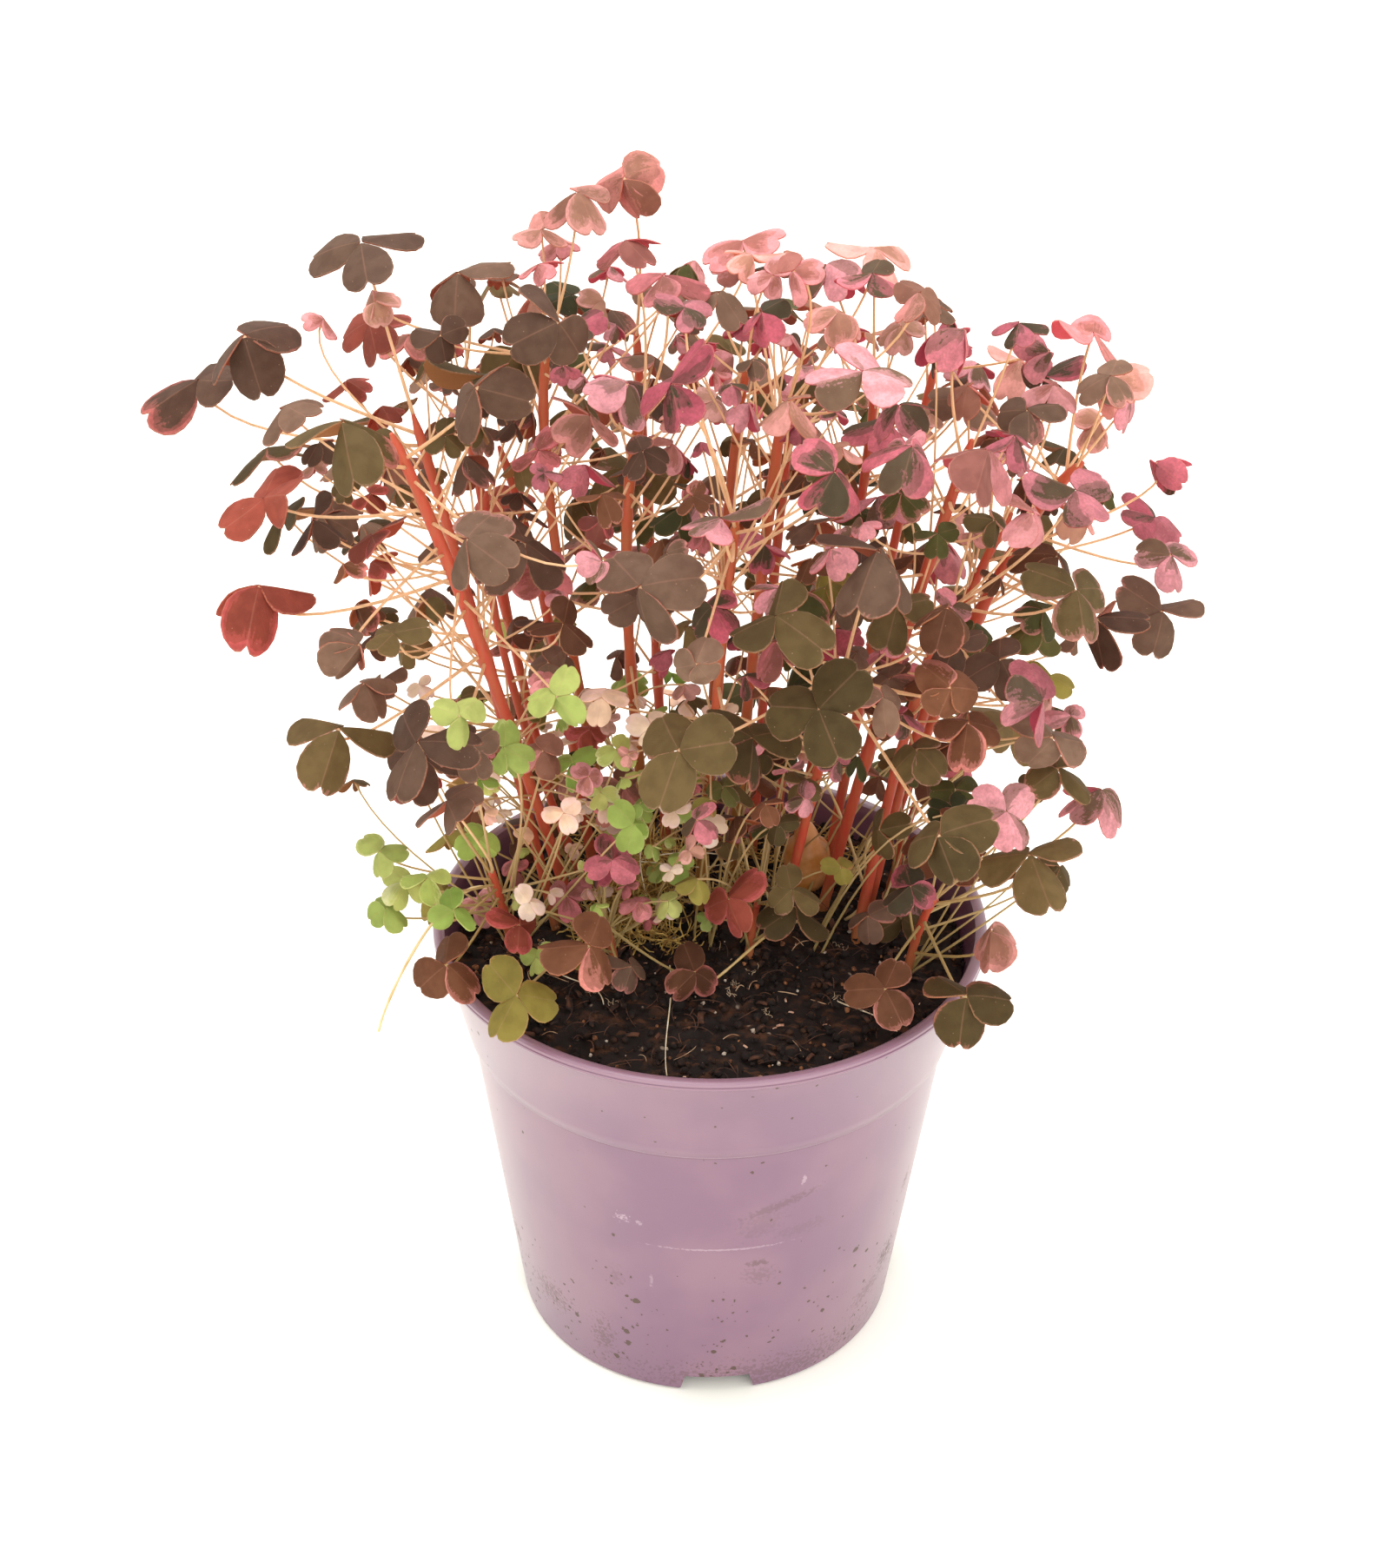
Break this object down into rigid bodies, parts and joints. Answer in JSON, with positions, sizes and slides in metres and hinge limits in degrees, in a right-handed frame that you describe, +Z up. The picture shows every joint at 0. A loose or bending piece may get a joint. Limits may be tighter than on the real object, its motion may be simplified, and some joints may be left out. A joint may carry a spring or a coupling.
{
  "type": "potted plant",
  "caption": "Bushy volcanic sorrel with pink, plum and olive clover-like leaves on red stems, growing in a mauve plastic nursery pot filled with dark peat.",
  "frame": {"origin": "centre of the bounding box at the foot of the pot, on the ground", "axes": "+Z up along the pot's height, -Y towards the viewer of the picture, +X to the viewer's right"},
  "size_m": [0.2156, 0.1668, 0.2554],
  "materials": {
    "pot_plastic": "matt, lightly scuffed",
    "soil_peat": "rough, matt",
    "foliage_plum": "soft, thin leaf skin",
    "foliage_red": "soft, thin leaf skin",
    "foliage_pink": "soft, thin leaf skin",
    "foliage_olive": "soft, thin leaf skin",
    "foliage_lime": "soft, thin leaf skin",
    "foliage_brown": "soft, thin leaf skin"
  },
  "bodies": {
    "root": {"pot": "pot_plastic", "soil": "soil_peat", "stem_left": "foliage_plum", "stem_left_rear": "foliage_red", "stem_tall_left": "foliage_plum", "stem_middle": "foliage_pink", "stem_centre": "foliage_pink", "stem_centre_rear": "foliage_pink", "stem_right": "foliage_pink", "stem_right_outer": "foliage_pink", "stem_right_low": "foliage_olive", "stem_amber": "foliage_olive", "stem_top": "foliage_pink", "stem_top_left": "foliage_plum", "stem_top_right": "foliage_pink", "shoot_left": "foliage_lime", "shoot_left_front": "foliage_brown", "shoot_front": "foliage_red", "shoot_right": "foliage_olive", "stem_far_1": "foliage_pink", "stem_far_2": "foliage_olive", "stem_far_3": "foliage_plum", "stem_far_4": "foliage_pink", "stem_far_5": "foliage_olive", "stem_far_6": "foliage_plum", "shoot_far_1": "foliage_lime", "shoot_far_2": "foliage_lime", "shoot_far_3": "foliage_lime"}
  },
  "joints": []
}
